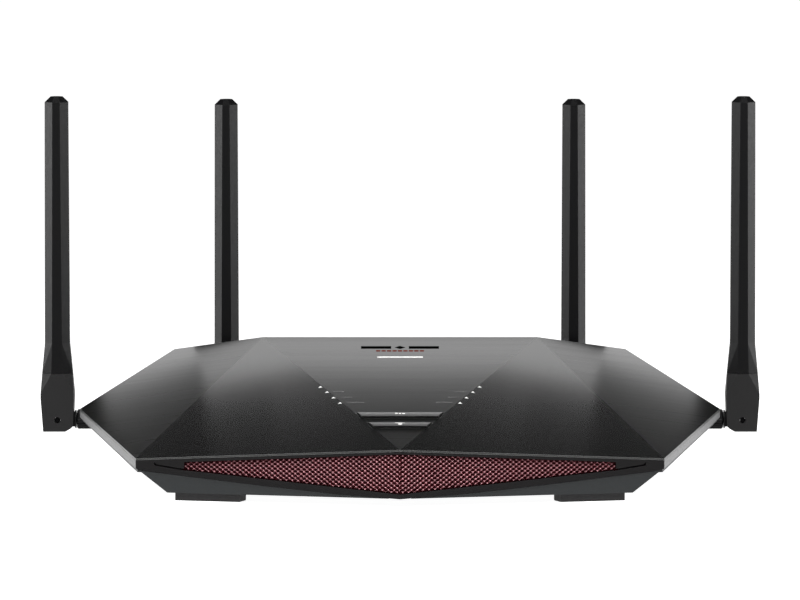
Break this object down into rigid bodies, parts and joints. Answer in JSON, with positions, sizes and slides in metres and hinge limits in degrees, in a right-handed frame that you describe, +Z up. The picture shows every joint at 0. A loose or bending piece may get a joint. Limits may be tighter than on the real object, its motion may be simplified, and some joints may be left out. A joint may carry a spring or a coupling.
{
  "type": "wireless router",
  "caption": "Low faceted wireless router with winged sides, a V-shaped front grille and folding swivel antennas.",
  "frame": {"origin": "centre of the footprint box at the height of the surface the feet stand on", "axes": "+Z up, the front grille towards -Y, +X to the right seen from the front"},
  "size_m": [0.3376, 0.228, 0.1773],
  "materials": {
    "cover": "semi-gloss charcoal with fine brushed lines along X",
    "housing": "fine matte texture, dark bluish grey",
    "fascia": "satin dark grey",
    "trim": "light grey satin with a fine dotted grain",
    "grille": "crimson metallic paint on perforated sheet",
    "antenna": "matte black, fine grain",
    "button": "semi-gloss dark grey",
    "light": "clear white diffuser",
    "board": "green solder mask",
    "steel": "plain tinned or zinc-plated steel",
    "dark_steel": "blackened steel",
    "aluminium": "bare extruded",
    "brass": "gold-plated or bare brass",
    "socket": "black moulded plastic",
    "wan_socket": "ochre moulded plastic",
    "rubber": "matte dark rubber",
    "lead": "thin dark jacket"
  },
  "bodies": {
    "housing": {"top_cover": "cover", "bottom_tray": "housing", "front_fascia": "fascia", "front_grille": "grille", "right_wing_trim": "trim", "left_wing_trim": "trim", "rear_panel": "housing", "main_board": "board", "rf_shield": "steel", "heat_sink": "aluminium", "lan_sockets": "socket", "wan_socket": "wan_socket", "usb_port": "steel", "power_inlet": "socket", "indicator_light_pipe": "light", "status_light_bar": "light", "front_right_foot": "rubber", "front_left_foot": "rubber", "rear_right_foot": "rubber", "rear_left_foot": "rubber", "housing_screw_1": "steel", "housing_screw_2": "steel", "housing_screw_3": "steel", "housing_screw_4": "steel", "side_right_lead": "lead", "side_left_lead": "lead", "rear_right_lead": "lead", "rear_left_lead": "lead", "side_left_nut": "antenna", "side_left_jack": "brass", "side_right_nut": "antenna", "side_right_jack": "brass", "rear_left_nut": "antenna", "rear_left_jack": "brass", "rear_right_nut": "antenna", "rear_right_jack": "brass"},
    "side_left_swivel": {"side_left_knuckle": "antenna"},
    "side_left_antenna": {"side_left_sleeve": "antenna", "side_left_radiator": "brass", "side_left_base": "antenna", "side_left_pin": "dark_steel"},
    "side_right_swivel": {"side_right_knuckle": "antenna"},
    "side_right_antenna": {"side_right_sleeve": "antenna", "side_right_radiator": "brass", "side_right_base": "antenna", "side_right_pin": "dark_steel"},
    "rear_left_swivel": {"rear_left_knuckle": "antenna"},
    "rear_left_antenna": {"rear_left_sleeve": "antenna", "rear_left_radiator": "brass", "rear_left_base": "antenna", "rear_left_pin": "dark_steel"},
    "rear_right_swivel": {"rear_right_knuckle": "antenna"},
    "rear_right_antenna": {"rear_right_sleeve": "antenna", "rear_right_radiator": "brass", "rear_right_base": "antenna", "rear_right_pin": "dark_steel"},
    "wifi_button": {"wifi_button": "button"},
    "wps_button": {"wps_button": "button"},
    "power_button": {"power_button": "button"},
    "reset_button": {"reset_button": "button"}
  },
  "joints": [
    {"name": "side_left_turn", "type": "hinge", "parent": "housing", "child": "side_left_swivel", "pos_m": [-0.1609, 0.02318, 0.0254], "axis": [-1, 0, 0], "range_deg": [-90, 90]},
    {"name": "side_left_fold", "type": "hinge", "parent": "side_left_swivel", "child": "side_left_antenna", "pos_m": [-0.1609, 0.02318, 0.0254], "axis": [0, -1, 0], "range_deg": [0, 90]},
    {"name": "side_right_turn", "type": "hinge", "parent": "housing", "child": "side_right_swivel", "pos_m": [0.1609, 0.02318, 0.0254], "axis": [1, 0, 0], "range_deg": [-90, 90]},
    {"name": "side_right_fold", "type": "hinge", "parent": "side_right_swivel", "child": "side_right_antenna", "pos_m": [0.1609, 0.02318, 0.0254], "axis": [0, 1, 0], "range_deg": [0, 90]},
    {"name": "rear_left_turn", "type": "hinge", "parent": "housing", "child": "rear_left_swivel", "pos_m": [-0.08365, 0.10618, 0.01945], "axis": [0, 1, 0], "range_deg": [-90, 90]},
    {"name": "rear_left_fold", "type": "hinge", "parent": "rear_left_swivel", "child": "rear_left_antenna", "pos_m": [-0.08365, 0.10618, 0.01945], "axis": [-1, 0, 0], "range_deg": [0, 90]},
    {"name": "rear_right_turn", "type": "hinge", "parent": "housing", "child": "rear_right_swivel", "pos_m": [0.08365, 0.10618, 0.01945], "axis": [0, 1, 0], "range_deg": [-90, 90]},
    {"name": "rear_right_fold", "type": "hinge", "parent": "rear_right_swivel", "child": "rear_right_antenna", "pos_m": [0.08365, 0.10618, 0.01945], "axis": [-1, 0, 0], "range_deg": [0, 90]},
    {"name": "wifi_button_press", "type": "slide", "parent": "housing", "child": "wifi_button", "axis": [0, 0.1563, -0.9877], "range_m": [0, 0.0007], "stiffness_N_per_m": 500, "springref_m": -0.0005},
    {"name": "wps_button_press", "type": "slide", "parent": "housing", "child": "wps_button", "axis": [0, 0.1563, -0.9877], "range_m": [0, 0.0007], "stiffness_N_per_m": 500, "springref_m": -0.0005},
    {"name": "power_button_press", "type": "slide", "parent": "housing", "child": "power_button", "axis": [0, -1, 0], "range_m": [0, 0.0015], "stiffness_N_per_m": 500, "springref_m": -0.0005},
    {"name": "reset_button_press", "type": "slide", "parent": "housing", "child": "reset_button", "axis": [0, -1, 0], "range_m": [0, 0.0005], "stiffness_N_per_m": 500, "springref_m": -0.0005}
  ]
}
